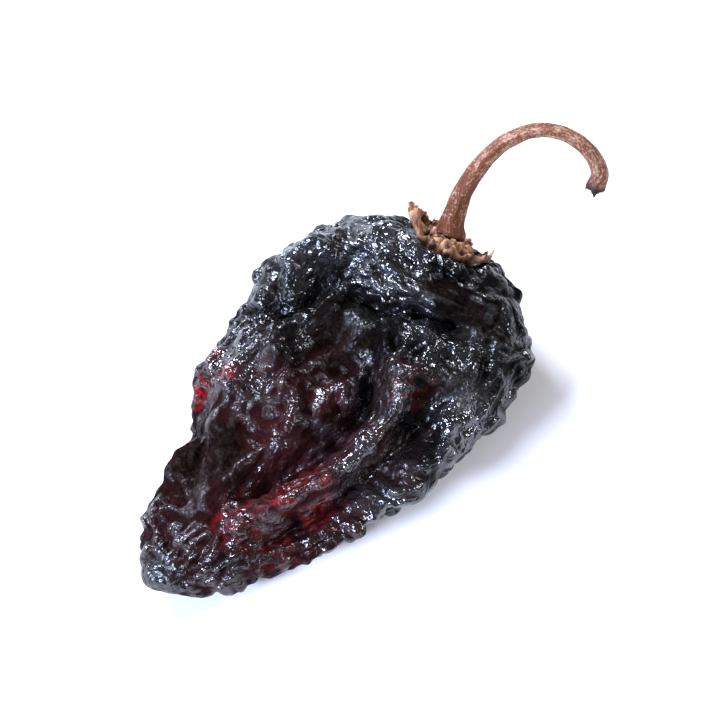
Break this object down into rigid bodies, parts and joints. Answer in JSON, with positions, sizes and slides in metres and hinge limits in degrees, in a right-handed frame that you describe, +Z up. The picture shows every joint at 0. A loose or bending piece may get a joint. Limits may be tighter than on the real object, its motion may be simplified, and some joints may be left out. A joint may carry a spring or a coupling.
{
  "type": "mulato pepper",
  "caption": "Dried dark chilli pepper lying on its back, with a wrinkled, collapsed, tapering pod, a ragged calyx and a thin hooked stem.",
  "frame": {"origin": "the middle of the flat spot on the belly that the pod rests on, on the surface below it", "axes": "+Y along the pod from its tip to its stem, +Z up, +X to the right seen from above with the stem away from the viewer"},
  "size_m": [0.0708, 0.1428, 0.0423],
  "materials": {
    "chilli_skin": "near-black brown dried chilli skin with dull red thin places, glossy on its finely wrinkled crests",
    "dried_sepal": "dry, crumbly light tan sepal tissue, matte",
    "woody_stalk": "reddish brown dried stalk with pale flecks and fine lengthwise ribs, satin"
  },
  "bodies": {
    "root": {"pod": "chilli_skin", "calyx": "dried_sepal", "stem": "woody_stalk"}
  },
  "joints": []
}
